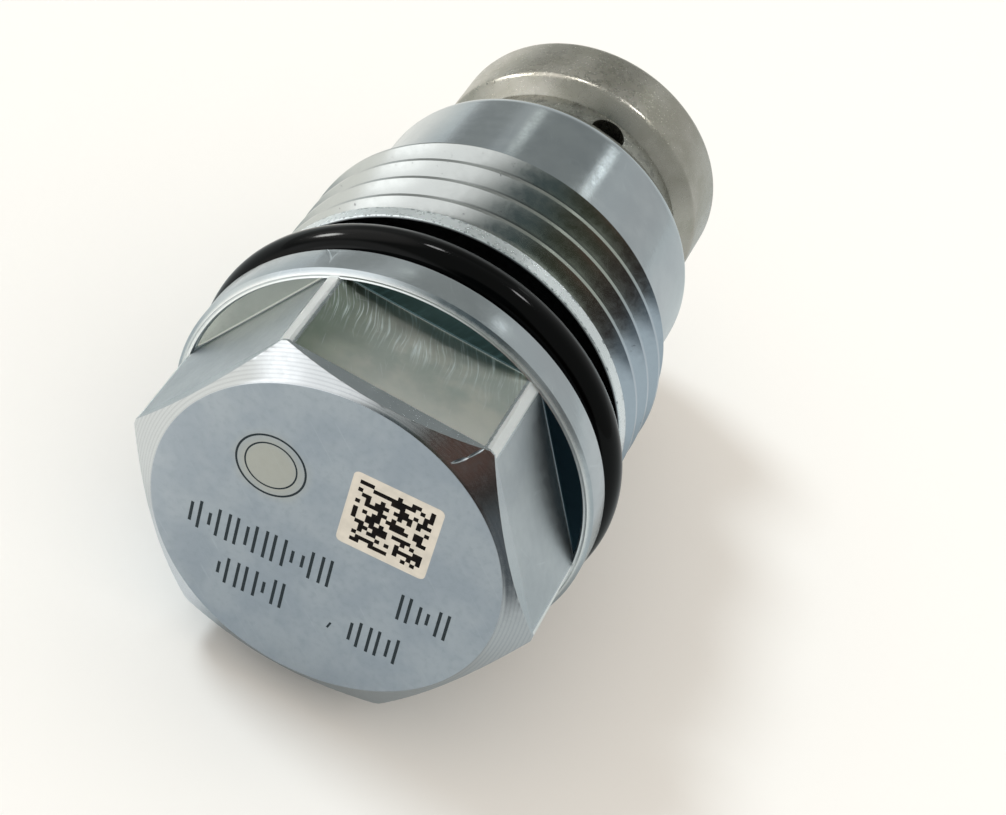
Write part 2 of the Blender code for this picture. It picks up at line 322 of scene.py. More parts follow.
def thread_cutter():
    """Right-hand helical groove, made by screwing its section round the axis."""
    half_mouth = (THREAD_PITCH - THREAD_CREST) / 2
    half_root = THREAD_ROOT / 2
    above = 0.12 * MM
    half_above = half_mouth + above * (half_mouth - half_root) / THREAD_DEPTH
    outside = THREAD_RADIUS + above
    inside = THREAD_RADIUS - THREAD_DEPTH
    softened = inside + THREAD_ROOT_SOFTENING
    half_softened = half_root + THREAD_ROOT_SOFTENING / 2
    half_floor = half_root * 0.55
    first = THREAD_START - THREAD_PITCH
    deselect()
    bpy.ops.mesh.primitive_plane_add(size=1.0)
    piece = bpy.context.object
    piece.name = "thread_cutter"
    corners = [(softened, first - half_softened), (outside, first - half_above),
               (outside, first + half_above), (softened, first + half_softened),
               (inside, first + half_floor), (inside, first - half_floor)]
    edit(piece)
    shape = bmesh.from_edit_mesh(piece.data)
    for vertex in list(shape.verts):
        shape.verts.remove(vertex)
    ring = [shape.verts.new((radius, along, 0.0)) for radius, along in corners]
    for a, b in zip(ring, ring[1:] + ring[:1]):
        shape.edges.new((a, b))
    bmesh.update_edit_mesh(piece.data)
    leave_edit()
    screw = piece.modifiers.new("screw", "SCREW")
    screw.axis = "Y"
    screw.angle = math.tau
    screw.screw_offset = THREAD_PITCH
    screw.iterations = THREAD_TURNS
    screw.steps = SEGMENTS
    screw.render_steps = SEGMENTS
    screw.use_merge_vertices = False
    bpy.ops.object.modifier_apply(modifier=screw.name)
    edit(piece)
    bpy.ops.mesh.select_all(action="DESELECT")
    bpy.ops.mesh.select_non_manifold()
    bpy.ops.mesh.fill_holes(sides=0)
    leave_edit()
    face_outwards(piece)
    return piece


def body_core():
    """Everything turned: collar with its lip, groove, thread blank, shank and the blind bore."""
    socket = NECK_RADIUS + 0.06 * MM
    seat = SPIGOT_RADIUS + GAP
    core = turn("valve_body_shell", [
        (CORE_START, HIDDEN_RADIUS),
        (CRESCENT_PLACE, HIDDEN_RADIUS),
        (CRESCENT_PLACE, LIP_FOOT),
        (LIP_PLACE + 0.06 * MM, LIP_STEP),
        (LIP_PLACE, LIP_STEP + 0.05 * MM),
        (LIP_PLACE + 0.05 * MM, LIP_STEP + 0.14 * MM),
        (LIP_PLACE + 0.05 * MM, LIP_STEP + 0.22 * MM),
        (LIP_PLACE, LIP_STEP + 0.27 * MM),
        (LIP_PLACE + LIP_CHAMFER, COLLAR_RADIUS),
        (COLLAR_SEAT, COLLAR_RADIUS),
        (COLLAR_SEAT, GROOVE_FLOOR),
        (THREAD_START, GROOVE_FLOOR),
        (THREAD_START, THREAD_RADIUS - THREAD_START_CHAMFER),
        (THREAD_START + THREAD_START_CHAMFER, THREAD_RADIUS),
        (THREAD_END - THREAD_RUNOUT, THREAD_RADIUS),
        (THREAD_END, THREAD_RADIUS - THREAD_RUNOUT_DEPTH),
        (THREAD_END, SHANK_RADIUS),
        (RIM_START, SHANK_RADIUS),
        (SHANK_END, RIM_RADIUS),
        (SHANK_END, socket),
        (LIP_BACK, socket),
        (LIP_BACK, seat),
        (COUNTERBORE, seat),
        (COUNTERBORE, BORE_RADIUS),
        (BORE_FLOOR, BORE_RADIUS),
    ])
    round_rings(core, [(COLLAR_SEAT, GROOVE_FLOOR), (THREAD_START, GROOVE_FLOOR)], GROOVE_FILLET)
    round_rings(core, [(COLLAR_SEAT, COLLAR_RADIUS)], COLLAR_ROUNDING)
    round_rings(core, [(RIM_START, SHANK_RADIUS), (SHANK_END, RIM_RADIUS)], RIM_ROUNDING, 4)
    return core


# Marks of handling in millimetres: start, end, half width, outward direction.
# A nick in the collar, a bent scratch on the chamfer, two pits on the thread.
GOUGES = (
    ((-7.75, 9.85, 10.48), (-6.95, 8.60, 11.02), 0.13, (-0.55, 0.0, 0.84)),
    ((4.60, 0.16, 9.80), (5.30, 0.60, 10.36), 0.12, (0.23, -0.87, 0.44)),
    ((5.20, 0.56, 10.28), (5.80, 1.10, 11.00), 0.10, (0.24, -0.87, 0.44)),
    ((2.25, 18.98, 11.80), (3.00, 19.16, 11.63), 0.15, (0.22, 0.0, 0.98)),
    ((-1.85, 19.70, 11.86), (-1.45, 19.62, 11.92), 0.12, (-0.14, 0.0, 0.99)),
)


def gouge(start, end, half_width, outward):
    """Long thin cutter lying along a surface, its middle a third of its half width outside."""
    deselect()
    bpy.ops.mesh.primitive_uv_sphere_add(segments=24, ring_count=12, radius=1.0)
    cutter = bpy.context.object
    along = (Vector(end) - Vector(start)) * MM
    centre = (Vector(end) + Vector(start)) / 2 * MM + Vector(outward) * half_width * MM / 3
    size = Matrix.Diagonal((half_width * MM, half_width * MM, along.length / 2, 1.0))
    turned = along.to_track_quat("Z", "Y").to_matrix().to_4x4()
    cutter.matrix_world = Matrix.Translation(centre) @ turned @ size
    settle(cutter)
    return cutter


def clear_slivers(piece):
    """Merges the corners that the cuts left almost on top of one another."""
    edit(piece)
    bpy.ops.mesh.select_all(action="SELECT")
    bpy.ops.mesh.remove_doubles(threshold=SLIVER)
    bpy.ops.mesh.dissolve_degenerate(threshold=SLIVER)
    leave_edit()


def valve_body():
    body = body_core()
    cutter = thread_cutter()
    beyond = THREAD_RADIUS + 2 * MM
    land_keeper = turn("land_keeper", [(HIDDEN_PLACE, beyond), (LAND_END, beyond)])
    combine(cutter, "DIFFERENCE", land_keeper)
    combine(body, "DIFFERENCE", cutter)
    combine(body, "UNION", hexagon())
    for mark in GOUGES:
        combine(body, "DIFFERENCE", gouge(*mark))
    clear_slivers(body)
    shade(body)
    return body


# ---------------------------------------------------------------- seal and nose

def sealing_ring():
    deselect()
    bpy.ops.mesh.primitive_torus_add(major_segments=SEGMENTS, minor_segments=36,
                                     major_radius=RING_INSIDE + RING_CORD / 2,
                                     minor_radius=RING_CORD / 2,
                                     location=(0, RING_CENTRE, 0), rotation=(math.pi / 2, 0, 0))
    ring = bpy.context.object
    ring.name = "sealing_ring"
    settle(ring)
    shade(ring)
    return ring


def drill(turn_angle):
    deselect()
    start = CHAMBER_RADIUS - 0.5 * MM
    end = NECK_RADIUS + 0.6 * MM
    bpy.ops.mesh.primitive_cylinder_add(vertices=48, radius=DRAIN_RADIUS, depth=end - start)
    piece = bpy.context.object
    piece.matrix_world = (Matrix.Rotation(turn_angle, 4, "Y")
                          @ Matrix.Translation((0, DRAIN_PLACE, (start + end) / 2)))
    settle(piece)
    return piece


def nose():
    first = (COUNTERBORE + GAP, SPIGOT_RADIUS)
    piece = turn("nose_shell", [
        first,
        (LIP_BACK - GAP, SPIGOT_RADIUS),
        (LIP_BACK - GAP, NECK_RADIUS),
        (NECK_END, NECK_RADIUS),
        (FLANGE_START, FLANGE_RADIUS),
        (FLANGE_END, FLANGE_RADIUS),
        (FLANGE_END, TIP_FOOT),
        (TIP_PLACE, TIP_FACE),
        (TIP_PLACE, INLET_RADIUS),
        (SEAT_PLACE + SEAT_LAND, INLET_RADIUS),
        (SEAT_PLACE, INLET_RADIUS + SEAT_LAND),
        (SEAT_PLACE, CHAMBER_RADIUS),
        (COUNTERBORE + GAP, CHAMBER_RADIUS),
        first,
    ])
    round_rings(piece, [(FLANGE_START, FLANGE_RADIUS)], FLANGE_BACK_ROUNDING)
    round_rings(piece, [(FLANGE_END, FLANGE_RADIUS)], FLANGE_FRONT_ROUNDING, 4)
    round_rings(piece, [(TIP_PLACE, TIP_FACE), (TIP_PLACE, INLET_RADIUS)], TIP_ROUNDING)
    for index in range(DRAIN_HOLES):
        combine(piece, "DIFFERENCE", drill(DRAIN_TURN + math.tau * index / DRAIN_HOLES))
    shade(piece)
    return piece


# ---------------------------------------------------------------- inner pieces

def turned_piece(name, outline, rings, width):
    piece = turn(name, outline, SMALL_SEGMENTS)
    round_rings(piece, rings, width, 2)
    shade(piece)
    return piece


def washer(name, start, end, inside, outside):
    """A turned disc with a hole and its outer edges broken."""
    ring = [(start, inside), (start, outside), (end, outside), (end, inside), (start, inside)]
    return turned_piece(name, ring, [(start, outside), (end, outside)], (end - start) * 0.2)


def closing_cone():
    return turned_piece("closing_cone", [
        (PILOT_END, PILOT_RADIUS),
        (CONE_BACK, PILOT_RADIUS),
        (CONE_BACK, CONE_RADIUS),
        (CONE_EDGE, CONE_RADIUS),
        (CONE_TIP, CONE_TIP_RADIUS),
        (CONE_TIP, STEM_RADIUS),
        (STEM_END, STEM_RADIUS),
    ], [(PILOT_END, PILOT_RADIUS), (CONE_BACK, CONE_RADIUS), (STEM_END, STEM_RADIUS)],
        CONE_ROUNDING)


def spring_stop():
    first = (STOP_FRONT, ROD_RADIUS + GAP)
    return turned_piece("spring_stop_shell", [
        first,
        (STOP_FRONT, PLATE_RADIUS),
        (STOP_FACE, PLATE_RADIUS),
        (STOP_FACE, STOP_BOSS_RADIUS),
        (STOP_BOSS, STOP_BOSS_RADIUS),
        (STOP_BOSS, ROD_RADIUS + GAP),
        first,
    ], [(STOP_FRONT, PLATE_RADIUS), (STOP_FACE, PLATE_RADIUS), (STOP_BOSS, STOP_BOSS_RADIUS)],
        STOP_ROUNDING)


def stop_rod():
    ends = [(STOP_FRONT, ROD_RADIUS), (ROD_END, ROD_RADIUS)]
    return turned_piece("stop_rod_shell", ends, ends, STOP_ROUNDING)


def pressure_spring():
    """Round-wire spring with a closed turn at each end, swept along its own coil."""
    closed = 2 * WIRE_RADIUS + GAP
    length = SPRING_END - SPRING_START - 2 * WIRE_RADIUS
    pitch = (length - 2 * closed) / ACTIVE_TURNS
    turns = ACTIVE_TURNS + 2
    steps = 48
    curve = bpy.data.curves.new("pressure_spring", "CURVE")
    curve.dimensions = "3D"
    curve.bevel_depth = WIRE_RADIUS
    curve.bevel_resolution = 6
    curve.use_fill_caps = True
    spline = curve.splines.new("POLY")
    total = round(turns * steps)
    spline.points.add(total)
    for step, point in enumerate(spline.points):
        share = turns * step / total
        ends = min(share, 1.0) + max(0.0, share - 1.0 - ACTIVE_TURNS)
        rise = SPRING_START + WIRE_RADIUS + ends * closed + (share - ends) * pitch
        angle = math.tau * share
        point.co = (COIL_RADIUS * math.sin(angle), rise, COIL_RADIUS * math.cos(angle), 1.0)
    piece = bpy.data.objects.new("pressure_spring", curve)
    bpy.context.scene.collection.objects.link(piece)
    pick(piece)
    bpy.ops.object.convert(target="MESH")
    piece = bpy.context.object
    shade(piece, 40)
    return piece


# ---------------------------------------------------------------- generic marks on the end face

MARK_THICKNESS = 0.03 * MM
MARK_PROUD = 0.004 * MM
STROKE_WIDTH = 0.19 * MM
LABEL_CENTRE = (3.0 * MM, 3.65 * MM)
LABEL_SIDE = 5.45 * MM
LABEL_TURN = math.radians(-4.5)
LABEL_CELLS = 16
LABEL_ROUNDING = 0.35 * MM
LABEL_FILLED_SIDE = 0.83
RING_MARK_CENTRE = (-4.3 * MM, 3.3 * MM)
RING_MARKS = ((2.15 * MM, 0.13 * MM), (1.6 * MM, 0.10 * MM))     # radius, width
LINE_TILT = math.radians(6)
# Rows of bars: start (x, z), number of bar pairs, bar height.
MARK_LINES = (
    ((-7.6 * MM, -2.9 * MM), 8, 2.1 * MM),
    ((-5.0 * MM, -5.9 * MM), 4, 2.0 * MM),
    ((5.35 * MM, -1.6 * MM), 3, 2.0 * MM),
    ((3.35 * MM, -5.3 * MM), 3, 2.0 * MM),
)
PAIR_STEP = 1.16 * MM
PAIR_GAP = 0.52 * MM
BAR_SHARES = (1.0, 1.0, 0.7, 0.45)
TICK_CENTRE = (2.1 * MM, -5.7 * MM)
TICK_SIZE = (0.13 * MM, 0.5 * MM)
TICK_TILT = 0.2


def stroke(centre, size, tilt):
    """One flat bar in the end face; size is (across, up)."""
    deselect()
    bpy.ops.mesh.primitive_cube_add(size=1.0)
    bar = bpy.context.object
    bar.scale = (size[0], MARK_THICKNESS, size[1])
    bar.rotation_euler = (0.0, tilt, 0.0)
    bar.location = (centre[0], MARK_THICKNESS / 2 - MARK_PROUD, centre[1])
    settle(bar)
    return bar


def join(name, parts):
    deselect()
    for part in parts:
        part.select_set(True)
    bpy.context.view_layer.objects.active = parts[0]
    bpy.ops.object.join()
    piece = bpy.context.object
    piece.name = name
    return piece


def ring_mark(radius, width):
    """A plain ring round the mark's centre."""
    inside = radius - width
    ring = [(-MARK_PROUD, inside), (-MARK_PROUD, radius), (MARK_THICKNESS, radius),
            (MARK_THICKNESS, inside), (-MARK_PROUD, inside)]
    piece = turn("ring_mark", ring, SMALL_SEGMENTS)
    piece.location = (RING_MARK_CENTRE[0], 0, RING_MARK_CENTRE[1])
    settle(piece)
    return piece


def etched_marks():
    """Plain bars in four rows and a double ring, where such valves carry etched data."""
    dice = random.Random(7)
    parts = [ring_mark(*size) for size in RING_MARKS]
    cosine, sine = math.cos(LINE_TILT), math.sin(LINE_TILT)
    for (x, z), count, height in MARK_LINES:
        for index in range(count):
            for shift in (0.0, PAIR_GAP):
                run = index * PAIR_STEP + shift
                tall = height * dice.choice(BAR_SHARES)
                centre = (x + run * cosine, z + run * sine)
                parts.append(stroke(centre, (STROKE_WIDTH, tall), -LINE_TILT))
    parts.append(stroke(TICK_CENTRE, TICK_SIZE, TICK_TILT))
    return join("etched_marks", parts)


def label_ground():
    ground = stroke(LABEL_CENTRE, (LABEL_SIDE, LABEL_SIDE), LABEL_TURN)
    ground.name = "light_square"
    edit(ground)
    bpy.ops.mesh.select_all(action="DESELECT")
    shape = bmesh.from_edit_mesh(ground.data)
    for edge in shape.edges:
        a, b = (v.co for v in edge.verts)
        edge.select = abs(a.y - b.y) > MARK_THICKNESS / 2
    bmesh.update_edit_mesh(ground.data)
    bpy.ops.mesh.bevel(offset=LABEL_ROUNDING, segments=4, affect="EDGES")
    leave_edit()
    return ground


def label_modules():
    """Random dark squares on the light square, with no reading order or frame."""
    dice = random.Random(21)
    side = LABEL_SIDE * LABEL_FILLED_SIDE
    deselect()
    bpy.ops.mesh.primitive_grid_add(x_subdivisions=LABEL_CELLS, y_subdivisions=LABEL_CELLS,
                                    size=side, rotation=(math.pi / 2, 0, 0))
    piece = bpy.context.object
    piece.name = "dark_modules"
    settle(piece)
    edit(piece)
    bpy.ops.mesh.select_all(action="DESELECT")
    shape = bmesh.from_edit_mesh(piece.data)
    for face in shape.faces:
        face.select = dice.random() < 0.5
    bmesh.update_edit_mesh(piece.data)
    bpy.ops.mesh.delete(type="FACE")
    bpy.ops.mesh.select_all(action="SELECT")
    bpy.ops.mesh.extrude_region_move(TRANSFORM_OT_translate={"value": (0, MARK_THICKNESS, 0)})
    leave_edit()
    piece.rotation_euler = (0, LABEL_TURN, 0)
    piece.location = (LABEL_CENTRE[0], -2 * MARK_PROUD, LABEL_CENTRE[1])
    settle(piece)
    face_outwards(piece)
    return piece


# ---------------------------------------------------------------- node helpers

def put(tree, kind, inputs=None, **settings):
    """Adds a shader node; inputs take a value or another node's socket."""
    node = tree.nodes.new("ShaderNode" + kind)
    for key, value in settings.items():
        setattr(node, key, value)
    for key, value in (inputs or {}).items():
        if isinstance(value, bpy.types.NodeSocket):
            tree.links.new(value, node.inputs[key])
        else:
            node.inputs[key].default_value = value
    return node


def calc(tree, operation, first, second=0.0):
    return put(tree, "Math", {0: first, 1: second}, operation=operation).outputs[0]


def times(tree, first, *others):
    for other in others:
        first = calc(tree, "MULTIPLY", first, other)
    return first


def plus(tree, first, second):
    return calc(tree, "ADD", first, second)


def minus(tree, first, second):
    return calc(tree, "SUBTRACT", first, second)


def most(tree, first, *others):
    for other in others:
        first = calc(tree, "MAXIMUM", first, other)
    return first


def ramp(tree, value, low, high, to_low=0.0, to_high=1.0):
    """Smooth step of a value from low to high."""
    node = put(tree, "MapRange", {"Value": value, "From Min": low, "From Max": high,
                                  "To Min": to_low, "To Max": to_high},
               interpolation_type="SMOOTHSTEP")
    return node.outputs["Result"]


def mix(tree, factor, first, second, blend="MIX"):
    """Mixes two colours."""
    first = (*first, 1.0) if isinstance(first, tuple) and len(first) == 3 else first
    second = (*second, 1.0) if isinstance(second, tuple) and len(second) == 3 else second
    node = put(tree, "Mix", {0: factor, 6: first, 7: second}, data_type="RGBA", blend_type=blend)
    return node.outputs[2]


def noise(tree, vector, scale, detail=3.0, roughness=0.55):
    node = put(tree, "TexNoise", {"Vector": vector, "Scale": scale, "Detail": detail,
                                  "Roughness": roughness})
    return node.outputs["Fac"]


def stretch(tree, x, y, z):
    return put(tree, "CombineXYZ", {0: x, 1: y, 2: z}).outputs[0]


def places(tree):
    """Object coordinates in millimetres, and the axis distance: vector, x, along, z, radius."""
    source = put(tree, "TexCoord").outputs["Object"]
    scaled = put(tree, "VectorMath", {0: source, 3: 1000.0}, operation="SCALE").outputs[0]
    parts = put(tree, "SeparateXYZ", {0: scaled})
    x, along, z = parts.outputs[0], parts.outputs[1], parts.outputs[2]
    squares = plus(tree, times(tree, x, x), times(tree, z, z))
    return scaled, x, along, z, calc(tree, "SQRT", squares)


def new_group(name, inputs, outputs):
    """A node group with float inputs (name, default) and named float outputs."""
    tree = bpy.data.node_groups.new(name, "ShaderNodeTree")
    for label, value in inputs:
        socket = tree.interface.new_socket(name=label, in_out="INPUT",
                                           socket_type="NodeSocketFloat")
        socket.default_value = value
    for label in outputs:
        tree.interface.new_socket(name=label, in_out="OUTPUT", socket_type="NodeSocketFloat")
    return tree, tree.nodes.new("NodeGroupInput"), tree.nodes.new("NodeGroupOutput")


def lathe_group():
    """Fine rings left by turning: a value that changes along the axis and outwards."""
    tree, given, out = new_group("lathe_rings", [("Lines", 8.0), ("Waver", 0.15)], ["Rings"])
    _, x, along, z, radius = places(tree)
    lines, waver = given.outputs["Lines"], given.outputs["Waver"]
    across = plus(tree, times(tree, along, lines), times(tree, x, waver))
    outward = plus(tree, times(tree, radius, lines), times(tree, z, waver))
    vector = stretch(tree, across, outward, 0.0)
    tree.links.new(noise(tree, vector, 1.0, 2.0), out.inputs["Rings"])
    return tree


def mottle_group():
    """Cloudy patches of plating or handling: one broad value and one fine value."""
    tree, given, out = new_group("cloud_patches", [("Broad", 0.35), ("Fine", 3.0)],
                                 ["Clouds", "Grain"])
    scaled = places(tree)[0]
    tree.links.new(noise(tree, scaled, given.outputs["Broad"], 3.0), out.inputs["Clouds"])
    tree.links.new(noise(tree, scaled, given.outputs["Fine"], 4.0, 0.65), out.inputs["Grain"])
    return tree


def scratch_group():
    """Sparse thin marks in a few directions, as a mask."""
    tree, given, out = new_group("handling_marks", [("Density", 0.5), ("Length", 0.35)], ["Marks"])
    _, x, along, z, _ = places(tree)
    total = None
    for layer, (a, b) in enumerate(((1.0, 0.35), (-0.6, 1.0), (0.2, -1.0))):
        lean = plus(tree, times(tree, x, a), times(tree, along, b))
        cross = minus(tree, times(tree, along, a), times(tree, plus(tree, x, z), b))
        vector = stretch(tree, times(tree, lean, given.outputs["Length"]),
                         times(tree, cross, 7.0), layer * 9.0)
        value = ramp(tree, noise(tree, vector, 1.0, 1.0), 0.70, 0.78)
        total = value if total is None else most(tree, total, value)
    tree.links.new(times(tree, total, given.outputs["Density"]), out.inputs["Marks"])
    return tree


def use_group(tree, group, **values):
    node = tree.nodes.new("ShaderNodeGroup")
    node.node_tree = group
    for label, value in values.items():
        node.inputs[label].default_value = value
    return node


def material_of(name, metallic):
    material = bpy.data.materials.new(name)
    material.use_nodes = True
    tree = material.node_tree
    shader = tree.nodes["Principled BSDF"]
    shader.inputs["Metallic"].default_value = metallic
    return material, tree, shader


def connect(tree, shader, colour, roughness, height, strength, distance):
    tree.links.new(colour, shader.inputs["Base Color"])
    tree.links.new(roughness, shader.inputs["Roughness"])
    bump = put(tree, "Bump", {"Height": height, "Strength": strength, "Distance": distance})
    tree.links.new(bump.outputs["Normal"], shader.inputs["Normal"])


# ---------------------------------------------------------------- materials

GROUPS = {}


def band(tree, value, low, high, soft):
    """Mask of a value between low and high."""
    rise = ramp(tree, value, low - soft, low + soft)
    fall = ramp(tree, value, high - soft, high + soft)
    return calc(tree, "SUBTRACT", rise, fall)


# Zones of the body's finish in millimetres along the axis: start, end, softness.
FLATS_ZONE = (1.3, 7.75, 0.05)
CORNER_ZONE = (1.3, 7.6, 0.1)
CRESCENT_ZONE = (7.76, 7.84, 0.02)
WALL_ZONE = (13.0, 14.96, 0.04)
THREAD_ZONE = (14.96, 24.0, 0.04)
LAND_ZONE = (14.96, 15.85, 0.03)
SHANK_ZONE = (24.05, 33.0, 0.05)

# Tints of the plating, zone by zone; the corner and land tints are painted light, the crescent,
# wall and valley tints and the top flat's dark end are painted shade, and the thread tints are
# painted reflections.
PLATE_LIGHT, PLATE_DARK = (0.50, 0.535, 0.555), (0.44, 0.475, 0.50)
PLATE_SCRATCH = (0.70, 0.74, 0.76)
FACE_LIGHT, FACE_DARK = (0.49, 0.52, 0.555), (0.43, 0.465, 0.51)
FACE_GRAIN, FACE_WARM = (0.36, 0.40, 0.44), (0.56, 0.53, 0.45)
TOP_LIGHT, TOP_DARK = (0.55, 0.56, 0.50), (0.42, 0.46, 0.42)
TOP_PAINTED_SHADE, TOP_PALE = (0.15, 0.19, 0.145), (0.72, 0.71, 0.66)
TOP_STREAK, CORNER_HIGHLIGHT = (0.84, 0.93, 0.94), (0.86, 0.87, 0.86)
CHAMFER, CHAMFER_LINE = (0.52, 0.53, 0.54), (0.33, 0.34, 0.36)
CRESCENT_LEFT, CRESCENT_SHADE_MIDDLE = (0.38, 0.40, 0.37), (0.11, 0.18, 0.19)
CRESCENT_SHADE_RIGHT = (0.025, 0.05, 0.065)
WALL_SHADE = (0.10, 0.105, 0.11)
THREAD_LEFT, THREAD_MIDDLE_REFLECTION = (0.47, 0.48, 0.47), (0.42, 0.445, 0.395)
THREAD_RIGHT_REFLECTION = (0.44, 0.50, 0.56)
VALLEY_SHADE, SPECK = (0.07, 0.075, 0.08), (0.09, 0.09, 0.10)
LAND_PAINTED_LIGHT, LAND_TORN = (0.80, 0.84, 0.85), (0.16, 0.19, 0.21)


def body_zones(tree, along, z, radius):
    """Masks of the body's zones, by place along the axis and distance from it."""
    flats = times(tree, band(tree, along, *FLATS_ZONE), ramp(tree, radius, 12.45, 12.38))
    rise = times(tree, minus(tree, radius, HEX_FACE_RADIUS / MM), math.tan(CHAMFER_ANGLE))
    chamfer = band(tree, minus(tree, along, rise), -0.05, 0.06, 0.02)
    return {
        "face": ramp(tree, along, 0.012, 0.002),
        "flats": flats,
        "top": times(tree, flats, ramp(tree, z, 10.6, 10.9)),
        "corner": times(tree, band(tree, along, *CORNER_ZONE), ramp(tree, radius, 12.45, 12.52)),
        "chamfer": times(tree, chamfer, ramp(tree, along, 0.005, 0.02)),
        "crescent": times(tree, band(tree, along, *CRESCENT_ZONE),
                          ramp(tree, radius, 12.38, 12.30)),
        "wall": times(tree, band(tree, along, *WALL_ZONE), ramp(tree, radius, 10.7, 10.9)),
        "thread": band(tree, along, *THREAD_ZONE),
        "land": times(tree, band(tree, along, *LAND_ZONE), ramp(tree, radius, 11.8, 11.9)),
        "shank": band(tree, along, *SHANK_ZONE),
    }


def end_face_colour(tree, vector, broad, grain):
    """Satin end face, warmer inside the ring mark."""
    colour = mix(tree, ramp(tree, broad, 0.38, 0.62), FACE_LIGHT, FACE_DARK)
    colour = mix(tree, ramp(tree, grain, 0.45, 0.75, 0.0, 0.35), colour, FACE_GRAIN)
    centre = (RING_MARK_CENTRE[0] / MM, 0.0, RING_MARK_CENTRE[1] / MM)
    away = put(tree, "VectorMath", {0: vector, 1: centre}, operation="DISTANCE").outputs["Value"]
    warmth = ramp(tree, plus(tree, away, times(tree, broad, 1.6)), 3.5, 1.9)
    return mix(tree, times(tree, warmth, 0.8), colour, FACE_WARM)


def top_flat_colour(tree, vector, x, along, broad):
    """Patchy upper flat, with painted shade towards -X and lighter towards the end face."""
    patchy = ramp(tree, noise(tree, vector, 0.4, 3.0, 0.6), 0.32, 0.66)
    colour = mix(tree, patchy, TOP_LIGHT, TOP_DARK)
    # Painted shade: the flat darkens towards -X.
    painted_shade_end = ramp(tree, plus(tree, x, times(tree, broad, 5.0)), 2.5, -3.5)
    colour = mix(tree, times(tree, painted_shade_end, 0.8), colour, TOP_PAINTED_SHADE)
    # Paler towards the end face and towards +X.
    pale_end = ramp(tree, plus(tree, along, times(tree, broad, 2.0)), 5.2, 1.8)
    pale_end = times(tree, pale_end, ramp(tree, x, -6.0, 2.0))
    return mix(tree, times(tree, pale_end, 0.55), colour, TOP_PALE)


def fan_streaks(tree, vector, x, along, broad):
    """Mask of fine scratches that fan out over a flat, near the collar only."""
    bend = times(tree, noise(tree, vector, 0.22, 1.0), 14.0)
    lean = plus(tree, times(tree, x, 7.0), times(tree, times(tree, along, along), 0.16))
    fan = stretch(tree, plus(tree, lean, bend), times(tree, along, 0.30), 0.0)
    streaks = ramp(tree, noise(tree, fan, 1.0, 3.0, 0.6), 0.50, 0.68)
    near_collar = ramp(tree, plus(tree, along, times(tree, broad, 4.0)), 5.6, 8.4)
    return times(tree, streaks, near_collar)


def torn_edges(tree, vector, along, land):
    """Mask of the torn plating along both edges of the thread's land."""
    torn = ramp(tree, noise(tree, vector, 3.2, 4.0, 0.7), 0.52, 0.60)
    ragged = most(tree, ramp(tree, along, 15.62, 15.80), ramp(tree, along, 15.12, 14.98))
    return times(tree, ragged, land, torn)


def chamfer_and_crescent(tree, colour, zones, x, radius):
    """Feed lines on the chamfer, painted shade darkening the collar's face from -X to +X, and
    painted shade on the groove wall.
    """
    feed = calc(tree, "SINE", times(tree, radius, math.tau * MM / CHAMFER_FEED))
    feed = times(tree, ramp(tree, feed, -0.2, 0.9), zones["chamfer"])
    colour = mix(tree, zones["chamfer"], colour, CHAMFER)
    colour = mix(tree, times(tree, feed, 0.30), colour, CHAMFER_LINE)
    # Painted shade: the collar's face is painted darker from -X to +X, near black at +X.
    crescent = mix(tree, ramp(tree, x, -7.0, -4.0), CRESCENT_LEFT, CRESCENT_SHADE_MIDDLE)
    crescent = mix(tree, ramp(tree, x, 4.0, 8.0), crescent, CRESCENT_SHADE_RIGHT)
    colour = mix(tree, zones["crescent"], colour, crescent)
    # Painted shade: the groove wall beside the ring is painted near-black.
    return mix(tree, zones["wall"], colour, WALL_SHADE)


def thread_and_land(tree, colour, zones, torn, vector, x, radius):
    """Thread with painted reflection tints across it, painted shade in its valleys, and dark
    specks, behind its first land painted light.
    """
    thread, land = zones["thread"], zones["land"]
    # Painted reflection: the flanks are tinted darker olive in the middle and blue towards +X.
    flank = mix(tree, ramp(tree, x, -2.0, 3.0), THREAD_LEFT, THREAD_MIDDLE_REFLECTION)
    flank = mix(tree, ramp(tree, x, 6.0, 9.5), flank, THREAD_RIGHT_REFLECTION)
    colour = mix(tree, thread, colour, flank)
    # Painted shade: the thread's roots are painted dark.
    valley_shade = times(tree, ramp(tree, radius, 11.22, 11.02), thread)
    colour = mix(tree, times(tree, valley_shade, 0.8), colour, VALLEY_SHADE)
    # Painted light: the first land is painted much lighter than the plating.
    colour = mix(tree, land, colour, LAND_PAINTED_LIGHT)
    colour = mix(tree, times(tree, torn, 0.8), colour, LAND_TORN)
    speck = ramp(tree, noise(tree, vector, 2.2, 4.0, 0.75), 0.66, 0.71)
    return mix(tree, times(tree, speck, minus(tree, thread, land), 0.75), colour, SPECK)


